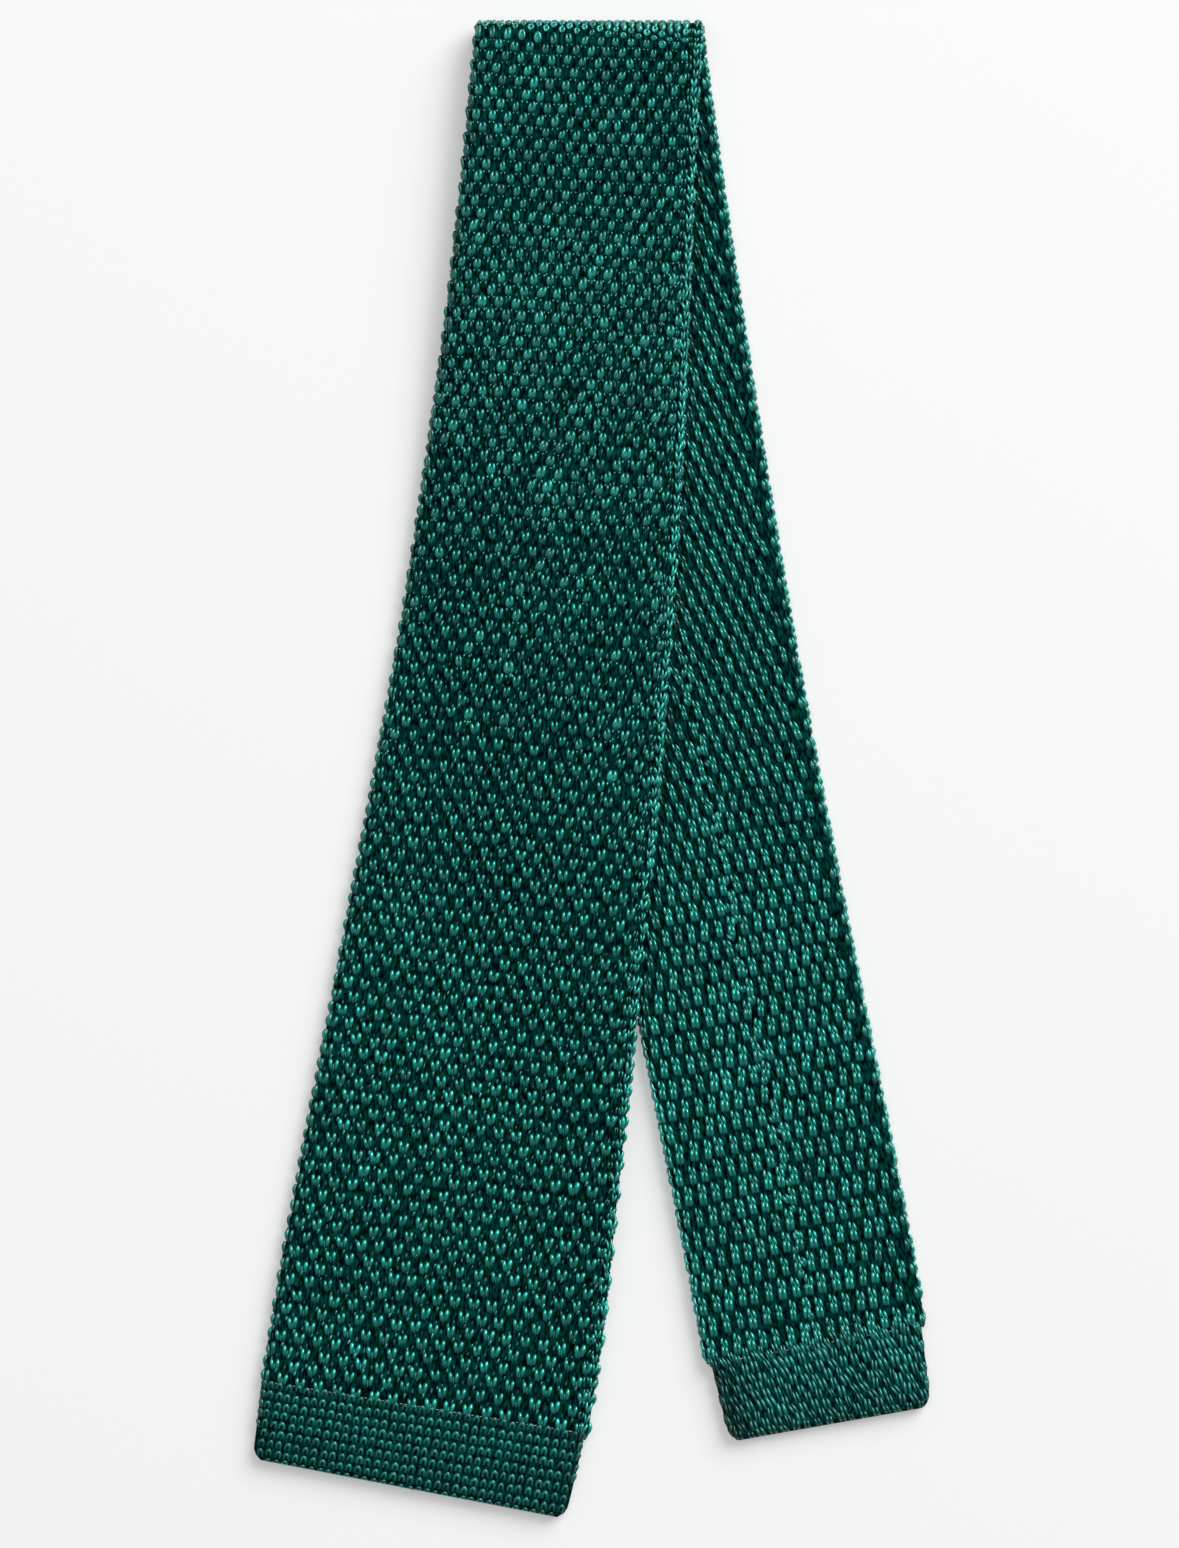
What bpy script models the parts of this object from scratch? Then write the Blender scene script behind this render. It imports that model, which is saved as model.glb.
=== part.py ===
"""A knit necktie, folded once and laid flat.

The body is one length of tubular knitting pressed flat. It is drawn as a flat pattern whose middle line
bends gently, then folded over a straight edge: the wide blade comes down on top, face up, and the narrow
blade lies under it, back up. A plain band closes each end. Metres, +Z up, +Y towards the folded edge.
"""

import math

import bmesh
import bpy
import numpy as np

# The body, measured lying flat
WIDE_LENGTH = 0.2888  # folded edge to the foot of the wide end band
NARROW_LENGTH = 0.2780  # folded edge to the foot of the narrow end band
WIDE_WIDTH = 0.0650  # the wide blade at its widest
NARROW_WIDTH = 0.0442  # the narrow blade, and the body at the fold
WALL = 0.0014  # one wall of the tube
HOLLOW = 0.0006  # the space between its two walls
SEAM_OPENING = 0.0005  # left along the centre back, for the seam
LAYER_GAP = 0.0007  # between the two blades where one lies on the other

# The wide blade comes down from the narrow one to the floor over this distance, past its left edge
SLOPE_MARGIN = 0.0015
SLOPE_LENGTH = 0.0320

# The end bands
WIDE_BAND_HEIGHT = 0.0163
NARROW_BAND_HEIGHT = 0.0159
WIDE_HEM_WIDTH = 0.0620
NARROW_HEM_WIDTH = 0.0396
WIDE_BAND_STEP = 0.0006  # how far the band starts inside the edge of the tube, on each side
NARROW_BAND_STEP = 0.0013
BAND_DEPTH_STEP = 0.0002  # how much lower its face lies than the tube's, on each side
BAND_WALL = 0.0013
BAND_CORNER = 0.0030
PIECE_GAP = 0.0003

# Each blade's middle line and width. distance is a share of the blade's length from the folded edge,
# tilt the degrees that the line leans from the fold's square, and spread a share of the way from
# NARROW_WIDTH to WIDE_WIDTH. The wide blade's first row is the fold's own, for both.
WIDE_BLADE_ROWS = (
    {"distance": 0.00, "tilt": 4.1, "spread": 0.00},
    {"distance": 0.12, "tilt": 4.2, "spread": 0.08},
    {"distance": 0.23, "tilt": 4.9, "spread": 0.20},
    {"distance": 0.39, "tilt": 6.6, "spread": 0.40},
    {"distance": 0.56, "tilt": 8.1, "spread": 0.62},
    {"distance": 0.72, "tilt": 8.4, "spread": 0.82},
    {"distance": 0.87, "tilt": 8.3, "spread": 0.99},
    {"distance": 0.94, "tilt": 9.2, "spread": 1.00},
    {"distance": 1.00, "tilt": 11.0, "spread": 1.00},
)
NARROW_BLADE_ROWS = (
    {"distance": 0.04, "tilt": 7.6, "spread": 0.00},
    {"distance": 0.15, "tilt": 8.3, "spread": 0.00},
    {"distance": 0.36, "tilt": 9.2, "spread": 0.00},
    {"distance": 0.50, "tilt": 10.4, "spread": 0.00},
    {"distance": 0.64, "tilt": 11.2, "spread": 0.00},
    {"distance": 0.80, "tilt": 11.3, "spread": 0.00},
    {"distance": 1.00, "tilt": 10.0, "spread": 0.00},
)

# How finely the solids are faceted
WIDE_STATIONS = 20
NARROW_STATIONS = 18
FOLD_STATIONS = 10
FRONT_STEPS = 6  # on each half of the front wall
BACK_STEPS = 5
EDGE_STEPS = 5
LINE_STEPS = 400
CORNER_ANGLES = (0, 25, 45, 62, 76)  # degrees round a band's foot
SHARP_ANGLE = 50
FAN_LENGTH = 0.040  # sections turn from the fold's line to square with the blade over this length

DEPTH = 2 * WALL + HOLLOW
FOLD_RADIUS = (DEPTH + LAYER_GAP) / 2  # of the tube's mid-surface
FOLD_HEIGHT = DEPTH / 2 + FOLD_RADIUS
HALF_FOLD = math.pi / 2 * FOLD_RADIUS
LAYER_STEP = DEPTH + LAYER_GAP
TAKE_UP = FOLD_RADIUS + DEPTH / 2 - HALF_FOLD

KNIT_COLOUR = (0.010, 0.090, 0.078, 1.0)
BAND_COLOUR = (0.008, 0.072, 0.064, 1.0)
YARN_ROUGHNESS = 0.45


def ease(share):
    """A smooth step from 0 to 1."""
    share = np.clip(share, 0.0, 1.0)
    return share * share * (3.0 - 2.0 * share)


def along(column, t):
    """A column of the two tables at t, the distance from the folded edge, negative on the wide blade."""
    rows = [(-row["distance"] * WIDE_LENGTH, row[column]) for row in reversed(WIDE_BLADE_ROWS)]
    rows += [(row["distance"] * NARROW_LENGTH, row[column]) for row in NARROW_BLADE_ROWS]
    places, values = zip(*rows)
    return np.interp(t, places, values)


def width_at(t):
    """The tube's width."""
    return NARROW_WIDTH + (WIDE_WIDTH - NARROW_WIDTH) * along("spread", t)


def middle_line():
    """Distances along the pattern's middle line and its points, with the folded edge at y = 0."""
    t = np.linspace(-WIDE_LENGTH, NARROW_LENGTH, LINE_STEPS + 1)
    lean = np.radians(along("tilt", t))
    step = t[1] - t[0]
    x = np.concatenate([[0.0], np.cumsum((np.sin(lean[1:]) + np.sin(lean[:-1])) / 2 * step)])
    y = np.concatenate([[0.0], np.cumsum((np.cos(lean[1:]) + np.cos(lean[:-1])) / 2 * step)])
    return t, x - np.interp(0.0, t, x), y - np.interp(0.0, t, y)


LINE_T, LINE_X, LINE_Y = middle_line()


def pattern_point(t, across, lean):
    """The flat pattern's point at t, across from the middle line along a section leaning by lean."""
    x = np.interp(t, LINE_T, LINE_X) + across * np.cos(lean)
    y = np.interp(t, LINE_T, LINE_Y) - across * np.sin(lean)
    return x, y


def section_lean(t):
    """Sections lie along the fold at the folded edge and square to the middle line away from it."""
    return np.radians(along("tilt", t)) * ease(np.abs(t) / FAN_LENGTH)


def narrow_left_edge():
    """The left edge of the narrow blade as it lies, as y rising and x."""
    t = np.linspace(HALF_FOLD, NARROW_LENGTH - TAKE_UP, LINE_STEPS)
    x, y = pattern_point(t, -width_at(t) / 2, np.radians(along("tilt", t)))
    return (HALF_FOLD - y)[::-1], x[::-1]


EDGE_Y, EDGE_X = narrow_left_edge()


def drop(x, y):
    """How far the wide blade has come down at x, y from where it lies on the narrow blade."""
    past = np.interp(y, EDGE_Y, EDGE_X) - x
    return LAYER_STEP * ease((past - SLOPE_MARGIN) / SLOPE_LENGTH)


def laid(x, pattern_y, out):
    """Where a point of the flat pattern lies on the folded tie, out from the tube's mid-surface."""
    turn = np.clip(pattern_y, -HALF_FOLD, HALF_FOLD) / FOLD_RADIUS
    past_fold = np.maximum(np.abs(pattern_y) - HALF_FOLD, 0.0)
    y = (FOLD_RADIUS + out) * np.cos(turn) - past_fold
    z = FOLD_HEIGHT - (FOLD_RADIUS + out) * np.sin(turn)
    return x, y, z - np.where(pattern_y < 0.0, drop(x, y), 0.0)


def half_outline(half_width, half_depth, opening):
    """Half of a flattened tube's outline, from the centre back round one edge to the centre front."""
    flat = half_width - half_depth
    back = [(across, -half_depth) for across in np.linspace(opening / 2, flat, BACK_STEPS + 1)]
    turns = np.linspace(0.0, math.pi, EDGE_STEPS + 1)[1:]
    edge = [(flat + half_depth * math.sin(a), -half_depth * math.cos(a)) for a in turns]
    front = [(across, half_depth) for across in np.linspace(flat, 0.0, FRONT_STEPS + 1)[1:]]
    return back + edge + front


def tube_outline(half_width, half_depth, opening):
    """The whole outline, from one lip of the opening at the back round the front to the other lip."""
    right = half_outline(half_width, half_depth, opening)
    left = [(-across, out) for across, out in reversed(right[:-1])]
    return right + left


def band_outline(half_width, half_depth):
    """A closed outline, its centre-back point counted once."""
    return tube_outline(half_width, half_depth, 0.0)[:-1]


def add_ring(bm, t, outline):
    """One section's vertices, laid where the folded tie has them."""
    lean = section_lean(t)
    ring = []
    for across, out in outline:
        x, y = pattern_point(t, across, lean)
        ring.append(bm.verts.new(laid(x, y, out)))
    return ring


def join_rings(bm, first, second, closed):
    """Faces between two rings of as many vertices."""
    last = len(first) if closed else len(first) - 1
    for i in range(last):
        j = (i + 1) % len(first)
        bm.faces.new((first[i], first[j], second[j], second[i]))


def finish(bm, name, colour):
    """The named object of a mesh, its faces outwards, with its own material."""
    bmesh.ops.recalc_face_normals(bm, faces=bm.faces)
    mesh = bpy.data.meshes.new(name)
    bm.to_mesh(mesh)
    bm.free()
    mesh.shade_smooth()
    mesh.set_sharp_from_angle(angle=math.radians(SHARP_ANGLE))
    material = bpy.data.materials.new(name + "_yarn")
    material.use_nodes = True
    shader = material.node_tree.nodes["Principled BSDF"]
    shader.inputs["Base Color"].default_value = colour
    shader.inputs["Roughness"].default_value = YARN_ROUGHNESS
    shader.inputs["Metallic"].default_value = 0.0
    mesh.materials.append(material)
    piece = bpy.data.objects.new(name, mesh)
    bpy.context.collection.objects.link(piece)
    return piece


def tube_ends():
    """Where the tube stops, a gap short of each end band."""
    wide = WIDE_LENGTH - TAKE_UP - WIDE_BAND_HEIGHT - PIECE_GAP
    narrow = NARROW_LENGTH - TAKE_UP - NARROW_BAND_HEIGHT - PIECE_GAP
    return -wide, narrow


def tube_stations():
    """The sections' places, close together round the fold."""
    wide_end, narrow_end = tube_ends()
    wide = np.linspace(wide_end, -HALF_FOLD, WIDE_STATIONS, endpoint=False)
    fold = np.linspace(-HALF_FOLD, HALF_FOLD, FOLD_STATIONS + 1)
    narrow = np.linspace(HALF_FOLD, narrow_end, NARROW_STATIONS + 1)[1:]
    return np.concatenate([wide, fold, narrow])


def knit_tube():
    """The body: a front and a back wall, open along the centre back and at both ends."""
    bm = bmesh.new()
    rings = []
    for t in tube_stations():
        half_width = width_at(t) / 2
        outer = tube_outline(half_width, DEPTH / 2, SEAM_OPENING)
        inner = tube_outline(half_width - WALL, DEPTH / 2 - WALL, SEAM_OPENING)
        rings.append(add_ring(bm, t, outer + inner[::-1]))
    for first, second in zip(rings, rings[1:]):
        join_rings(bm, first, second, True)
    for ring in (rings[0], rings[-1]):
        half = len(ring) // 2
        join_rings(bm, ring[:half], ring[:half - 1:-1], False)
    return finish(bm, "knit_tube", KNIT_COLOUR)


def end_band(name, side, blade_length, height, step, hem_width):
    """A flat pocket, open towards the tube. side is -1 on the wide blade and 1 on the narrow one."""
    foot = side * (blade_length - TAKE_UP)
    top_half_width = width_at(foot - side * height) / 2 - step
    half_depth = DEPTH / 2 - BAND_DEPTH_STEP
    rim = [height, (height + BAND_CORNER) / 2]
    corner = [BAND_CORNER * (1 - math.sin(math.radians(a))) for a in CORNER_ANGLES]
    bm = bmesh.new()
    outer = []
    for rise in rim + corner:
        half_width = hem_width / 2 + (top_half_width - hem_width / 2) * rise / height
        bite = max(1 - rise / BAND_CORNER, 0.0)
        half_width -= BAND_CORNER * (1 - math.sqrt(1 - bite**2))
        round_off = max(1 - rise / half_depth, 0.0)
        outline = band_outline(half_width, half_depth * math.sqrt(1 - round_off**2))
        outer.append(add_ring(bm, foot - side * rise, outline))
    inner = []
    for rise in (height, (height + BAND_WALL + BAND_CORNER) / 2, BAND_WALL + BAND_CORNER):
        half_width = hem_width / 2 + (top_half_width - hem_width / 2) * rise / height
        outline = band_outline(half_width - BAND_WALL, half_depth - BAND_WALL)
        inner.append(add_ring(bm, foot - side * rise, outline))
    for rings in (outer, inner):
        for first, second in zip(rings, rings[1:]):
            join_rings(bm, first, second, True)
        bm.faces.new(rings[-1])
    join_rings(bm, outer[0], inner[0], True)
    return finish(bm, name, BAND_COLOUR)


def set_on_floor(pieces):
    """Moves the meshes so that the middle of the whole box's underside is the origin."""
    corners = np.array([vertex.co for piece in pieces for vertex in piece.data.vertices])
    low = corners.min(axis=0)
    high = corners.max(axis=0)
    for piece in pieces:
        for vertex in piece.data.vertices:
            vertex.co.x -= (low[0] + high[0]) / 2
            vertex.co.y -= (low[1] + high[1]) / 2
            vertex.co.z -= low[2]


def build():
    for old in list(bpy.data.objects):
        bpy.data.objects.remove(old, do_unlink=True)
    pieces = [
        knit_tube(),
        end_band("wide_end_band", -1, WIDE_LENGTH, WIDE_BAND_HEIGHT, WIDE_BAND_STEP, WIDE_HEM_WIDTH),
        end_band("narrow_end_band", 1, NARROW_LENGTH, NARROW_BAND_HEIGHT, NARROW_BAND_STEP, NARROW_HEM_WIDTH),
    ]
    set_on_floor(pieces)


build()
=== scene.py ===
"""A knit necktie folded once and laid flat: silk stitches standing over a dark knitted ground."""

import math

import bpy
import numpy as np
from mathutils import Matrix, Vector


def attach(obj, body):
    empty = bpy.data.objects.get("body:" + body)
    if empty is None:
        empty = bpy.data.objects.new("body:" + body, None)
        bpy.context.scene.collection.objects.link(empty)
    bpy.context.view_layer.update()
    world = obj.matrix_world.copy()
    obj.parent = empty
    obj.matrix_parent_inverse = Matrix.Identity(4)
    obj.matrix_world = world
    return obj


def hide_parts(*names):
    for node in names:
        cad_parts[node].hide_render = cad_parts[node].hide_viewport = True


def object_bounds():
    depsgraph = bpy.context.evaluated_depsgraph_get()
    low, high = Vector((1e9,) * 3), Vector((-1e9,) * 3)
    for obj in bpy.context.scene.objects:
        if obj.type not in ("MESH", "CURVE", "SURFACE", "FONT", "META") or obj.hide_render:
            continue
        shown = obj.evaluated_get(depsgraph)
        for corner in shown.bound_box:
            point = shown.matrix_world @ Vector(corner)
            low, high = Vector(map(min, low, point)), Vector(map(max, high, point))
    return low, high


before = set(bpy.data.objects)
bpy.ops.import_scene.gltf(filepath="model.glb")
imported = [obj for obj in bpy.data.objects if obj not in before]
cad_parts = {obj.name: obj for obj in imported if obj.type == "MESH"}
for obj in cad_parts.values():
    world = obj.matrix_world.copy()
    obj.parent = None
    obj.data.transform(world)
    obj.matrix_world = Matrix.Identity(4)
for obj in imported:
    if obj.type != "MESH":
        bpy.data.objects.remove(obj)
CAD_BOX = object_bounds()

MM = 0.001

# The tie's sizes, as its solids have them
WIDE_LENGTH = 0.2888
NARROW_LENGTH = 0.2780
WIDE_WIDTH = 0.0650
NARROW_WIDTH = 0.0442
WALL = 0.0014
HOLLOW = 0.0006
SEAM_OPENING = 0.0005
LAYER_GAP = 0.0007
SLOPE_MARGIN = 0.0015
SLOPE_LENGTH = 0.0320
PIECE_GAP = 0.0003
BAND_DEPTH_STEP = 0.0002
BAND_WALL = 0.0013
BAND_CORNER = 0.0030

# The end bands: their shape in metres, then the columns and rows of their stitches
WIDE_BAND = {
    "side": -1, "shift": -0.0004, "length": WIDE_LENGTH, "height": 0.0163, "hem": 0.0620, "step": 0.0006,
    "column": 1.76 * MM, "row": 1.98 * MM, "stagger": 0.0, "lean": 0.0, "wobble": 0.9,
}
NARROW_BAND = {
    "side": 1, "shift": 0.0, "length": NARROW_LENGTH, "height": 0.0159, "hem": 0.0396, "step": 0.0013,
    "column": 2.25 * MM, "row": 1.85 * MM, "stagger": 0.5, "lean": 0.15, "wobble": 1.7,
}

# Each blade's middle line and width, a row for each section
WIDE_BLADE_ROWS = (
    {"distance": 0.00, "tilt": 4.1, "spread": 0.00},
    {"distance": 0.12, "tilt": 4.2, "spread": 0.08},
    {"distance": 0.23, "tilt": 4.9, "spread": 0.20},
    {"distance": 0.39, "tilt": 6.6, "spread": 0.40},
    {"distance": 0.56, "tilt": 8.1, "spread": 0.62},
    {"distance": 0.72, "tilt": 8.4, "spread": 0.82},
    {"distance": 0.87, "tilt": 8.3, "spread": 0.99},
    {"distance": 0.94, "tilt": 9.2, "spread": 1.00},
    {"distance": 1.00, "tilt": 11.0, "spread": 1.00},
)
NARROW_BLADE_ROWS = (
    {"distance": 0.04, "tilt": 7.6, "spread": 0.00},
    {"distance": 0.15, "tilt": 8.3, "spread": 0.00},
    {"distance": 0.36, "tilt": 9.2, "spread": 0.00},
    {"distance": 0.50, "tilt": 10.4, "spread": 0.00},
    {"distance": 0.64, "tilt": 11.2, "spread": 0.00},
    {"distance": 0.80, "tilt": 11.3, "spread": 0.00},
    {"distance": 1.00, "tilt": 10.0, "spread": 0.00},
)

DEPTH = 2 * WALL + HOLLOW
HALF_DEPTH = DEPTH / 2
BAND_HALF_DEPTH = HALF_DEPTH - BAND_DEPTH_STEP
FOLD_RADIUS = (DEPTH + LAYER_GAP) / 2
FOLD_HEIGHT = HALF_DEPTH + FOLD_RADIUS
HALF_FOLD = math.pi / 2 * FOLD_RADIUS
LAYER_STEP = DEPTH + LAYER_GAP
TAKE_UP = FOLD_RADIUS + HALF_DEPTH - HALF_FOLD
WIDE_TUBE_END = -(WIDE_LENGTH - TAKE_UP - WIDE_BAND["height"] - PIECE_GAP)
NARROW_TUBE_END = NARROW_LENGTH - TAKE_UP - NARROW_BAND["height"] - PIECE_GAP

# The knitting's gauge: column and row spacing in millimetres at a run from the folded edge. The wide
# blade's run goes over the outside of the bend.
WIDE_GAUGE = (
    {"run": -290, "column": 3.70, "row": 2.95},
    {"run": -225, "column": 3.55, "row": 2.80},
    {"run": -170, "column": 3.50, "row": 2.60},
    {"run": -110, "column": 3.30, "row": 2.58},
    {"run": -60, "column": 3.20, "row": 2.42},
    {"run": -14, "column": 3.04, "row": 2.40},
    {"run": -10, "column": 3.02, "row": 2.10},
    {"run": -7, "column": 3.00, "row": 1.85},
    {"run": -5, "column": 3.00, "row": 1.30},
    {"run": -4, "column": 3.00, "row": 1.14},
    {"run": 6, "column": 3.00, "row": 1.14},
    {"run": 10, "column": 3.00, "row": 2.40},
    {"run": 290, "column": 3.00, "row": 2.60},
)
NARROW_GAUGE = (
    {"run": -10, "column": 2.60, "row": 3.30},
    {"run": 120, "column": 2.60, "row": 3.60},
    {"run": 160, "column": 2.60, "row": 3.95},
    {"run": 220, "column": 2.62, "row": 4.25},
    {"run": 290, "column": 2.66, "row": 4.60},
)
EDGE_GAUGE = WIDE_GAUGE[:6]  # the edge's rows keep their spacing near the fold
EAR_COLUMN = 3.45 * MM  # the column spacing at which the wide blade's stitches have their drawn size
LOOP_COLUMN = 2.62 * MM  # and the narrow blade's
CROWDED_ROW = 2.3 * MM  # closer rows than this make their stitches smaller and more even
TUBE_COLUMNS = np.arange(-30, 31)  # more than the widest face takes
BAND_COLUMNS = np.arange(-40, 41)

# What the wide blade's stitches are at a run in millimetres: how light they are painted, with painted light
# and shade that follow the run, how slim the two-legged ones are, and the shares that are rings next to the
# fold and lobes below it
WIDE_PAINTED_LIGHT = {"runs": (-290, -170, -110, -40, 0), "levels": (1.24, 1.16, 0.96, 0.96, 1.02)}
EAR_SLIMNESS = {"runs": (-200, -150), "levels": (1.0, 0.84)}
RING_SHARE = {"runs": (-7, -5), "levels": (0.0, 0.8)}
LOBE_SHARE = {"runs": (-150, -100, -60), "levels": (0.0, 0.45, 1.0)}
KNOB_REACH = 2.4 * MM  # the knobs' row on each side of the folded edge
FLECKED_LOBES = -45 * MM  # lobes above this run have no tuck yarn beside them
LOBE_SIZE = 1.12
RING_SIZE = 1.35
KNOB_SIZE = 1.95

# A site's columns, and how far each strays: for a wobble of 1, but the shade for any. Places in millimetres
RUN, GIRTH, SIZE, SLIM, TURN, SHADE = range(6)
PLACE_SPREAD = 0.10
SIZE_SPREAD = 0.05
SLIM_SPREAD = 0.07
TURN_SPREAD = 0.07
SHADE_SPREAD = 0.13

# Strokes of yarn, a row for each section: up towards the fold, across to the right, depth of its middle
# below the knitting's face and radius, all in millimetres
EAR_LEFT = (
    {"up": 1.00, "across": -0.76, "depth": 0.94, "radius": 0.20},
    {"up": 0.84, "across": -0.73, "depth": 0.58, "radius": 0.38},
    {"up": 0.42, "across": -0.66, "depth": 0.44, "radius": 0.45},
    {"up": -0.06, "across": -0.58, "depth": 0.56, "radius": 0.43},
    {"up": -0.60, "across": -0.50, "depth": 0.90, "radius": 0.36},
    {"up": -1.10, "across": -0.44, "depth": 1.40, "radius": 0.28},
)
EAR_RIGHT = (
    {"up": 0.98, "across": 0.57, "depth": 0.90, "radius": 0.18},
    {"up": 0.82, "across": 0.57, "depth": 0.54, "radius": 0.35},
    {"up": 0.42, "across": 0.56, "depth": 0.40, "radius": 0.42},
    {"up": -0.04, "across": 0.54, "depth": 0.51, "radius": 0.40},
    {"up": -0.58, "across": 0.49, "depth": 0.84, "radius": 0.34},
    {"up": -1.05, "across": 0.44, "depth": 1.34, "radius": 0.26},
)
EAR_BODY = (
    {"up": 0.45, "across": -0.06, "depth": 1.22, "radius": 0.34},
    {"up": -0.20, "across": -0.02, "depth": 1.12, "radius": 0.52},
    {"up": -0.85, "across": 0.04, "depth": 1.18, "radius": 0.54},
    {"up": -1.50, "across": 0.08, "depth": 1.45, "radius": 0.40},
)
FLECK = (
    {"up": 0.78, "across": -1.38, "depth": 1.00, "radius": 0.12},
    {"up": 1.00, "across": -1.28, "depth": 0.62, "radius": 0.23},
    {"up": 1.45, "across": -1.16, "depth": 0.62, "radius": 0.23},
    {"up": 1.70, "across": -1.08, "depth": 1.00, "radius": 0.12},
)
LOW_FLECK = (
    {"up": 1.50, "across": 0.02, "depth": 1.05, "radius": 0.16},
    {"up": 2.00, "across": 0.02, "depth": 0.80, "radius": 0.24},
    {"up": 2.60, "across": 0.10, "depth": 1.05, "radius": 0.16},
)
BACK_UPPER_LEFT = (
    {"up": 2.10, "across": -0.40, "depth": 0.95, "radius": 0.16},
    {"up": 1.86, "across": -0.41, "depth": 0.52, "radius": 0.30},
    {"up": 1.20, "across": -0.45, "depth": 0.36, "radius": 0.33},
    {"up": 0.60, "across": -0.50, "depth": 0.90, "radius": 0.24},
)
BACK_UPPER_RIGHT = (
    {"up": 1.68, "across": 0.28, "depth": 0.95, "radius": 0.16},
    {"up": 1.42, "across": 0.34, "depth": 0.50, "radius": 0.29},
    {"up": 0.62, "across": 0.52, "depth": 0.36, "radius": 0.32},
    {"up": -0.05, "across": 0.66, "depth": 0.90, "radius": 0.22},
)
BACK_LOWER_LEFT = (
    {"up": 0.34, "across": -0.46, "depth": 0.95, "radius": 0.18},
    {"up": 0.10, "across": -0.46, "depth": 0.56, "radius": 0.36},
    {"up": -0.55, "across": -0.45, "depth": 0.44, "radius": 0.42},
    {"up": -1.20, "across": -0.46, "depth": 0.74, "radius": 0.40},
    {"up": -2.00, "across": -0.50, "depth": 1.25, "radius": 0.28},
)
BACK_LOWER_RIGHT = (
    {"up": 0.14, "across": 0.27, "depth": 0.95, "radius": 0.16},
    {"up": -0.10, "across": 0.28, "depth": 0.54, "radius": 0.34},
    {"up": -0.72, "across": 0.33, "depth": 0.42, "radius": 0.40},
    {"up": -1.35, "across": 0.37, "depth": 0.70, "radius": 0.37},
    {"up": -2.10, "across": 0.34, "depth": 1.22, "radius": 0.26},
)
BACK_BODY = (
    {"up": 2.00, "across": -0.10, "depth": 1.30, "radius": 0.30},
    {"up": 0.80, "across": 0.00, "depth": 1.10, "radius": 0.42},
    {"up": -0.80, "across": 0.00, "depth": 1.00, "radius": 0.60},
    {"up": -2.30, "across": -0.05, "depth": 1.30, "radius": 0.40},
)
LOBE_LEFT = (
    {"up": 0.98, "across": -0.22, "depth": 0.92, "radius": 0.18},
    {"up": 0.76, "across": -0.33, "depth": 0.58, "radius": 0.32},
    {"up": 0.28, "across": -0.45, "depth": 0.48, "radius": 0.40},
    {"up": -0.28, "across": -0.42, "depth": 0.66, "radius": 0.42},
    {"up": -0.84, "across": -0.20, "depth": 1.02, "radius": 0.34},
)
LOBE_RIGHT = (
    {"up": 1.06, "across": 0.22, "depth": 0.82, "radius": 0.16},
    {"up": 0.84, "across": 0.34, "depth": 0.46, "radius": 0.29},
    {"up": 0.34, "across": 0.45, "depth": 0.36, "radius": 0.36},
    {"up": -0.24, "across": 0.42, "depth": 0.56, "radius": 0.38},
    {"up": -0.80, "across": 0.20, "depth": 0.98, "radius": 0.32},
)
LOBE_PAD = (
    {"up": 0.60, "across": 0.00, "depth": 1.12, "radius": 0.34},
    {"up": 0.15, "across": 0.00, "depth": 0.93, "radius": 0.54},
    {"up": -0.40, "across": 0.00, "depth": 0.87, "radius": 0.60},
    {"up": -0.95, "across": 0.00, "depth": 1.04, "radius": 0.50},
    {"up": -1.30, "across": 0.00, "depth": 1.40, "radius": 0.25},
)
RING_LEFT = (
    {"up": -0.72, "across": 0.04, "depth": 0.70, "radius": 0.18},
    {"up": -0.46, "across": -0.34, "depth": 0.60, "radius": 0.25},
    {"up": 0.05, "across": -0.48, "depth": 0.52, "radius": 0.29},
    {"up": 0.52, "across": -0.32, "depth": 0.48, "radius": 0.27},
    {"up": 0.74, "across": 0.04, "depth": 0.48, "radius": 0.22},
)
RING_RIGHT = (
    {"up": -0.72, "across": -0.04, "depth": 0.64, "radius": 0.18},
    {"up": -0.44, "across": 0.34, "depth": 0.46, "radius": 0.25},
    {"up": 0.05, "across": 0.48, "depth": 0.36, "radius": 0.28},
    {"up": 0.50, "across": 0.34, "depth": 0.38, "radius": 0.26},
    {"up": 0.74, "across": 0.00, "depth": 0.46, "radius": 0.21},
)
KNOB = (
    {"up": 0.80, "across": -0.04, "depth": 0.95, "radius": 0.28},
    {"up": 0.42, "across": -0.06, "depth": 0.70, "radius": 0.52},
    {"up": -0.15, "across": 0.04, "depth": 0.66, "radius": 0.56},
    {"up": -0.75, "across": 0.04, "depth": 0.95, "radius": 0.32},
)
PAD = (
    {"up": 0.85, "across": 0.00, "depth": 1.10, "radius": 0.28},
    {"up": 0.40, "across": 0.00, "depth": 0.92, "radius": 0.54},
    {"up": -0.35, "across": 0.00, "depth": 0.92, "radius": 0.56},
    {"up": -0.90, "across": 0.00, "depth": 1.10, "radius": 0.34},
)
DOT = (
    {"up": -0.98, "across": 0.00, "depth": 0.92, "radius": 0.12},
    {"up": -1.22, "across": 0.00, "depth": 0.52, "radius": 0.25},
    {"up": -1.52, "across": 0.00, "depth": 0.92, "radius": 0.12},
)
CHAIN_LEFT = (
    {"up": 1.05, "across": -0.50, "depth": 0.75, "radius": 0.14},
    {"up": 0.70, "across": -0.46, "depth": 0.42, "radius": 0.26},
    {"up": 0.05, "across": -0.28, "depth": 0.34, "radius": 0.30},
    {"up": -0.55, "across": -0.06, "depth": 0.52, "radius": 0.24},
    {"up": -0.90, "across": 0.00, "depth": 0.85, "radius": 0.14},
)
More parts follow.
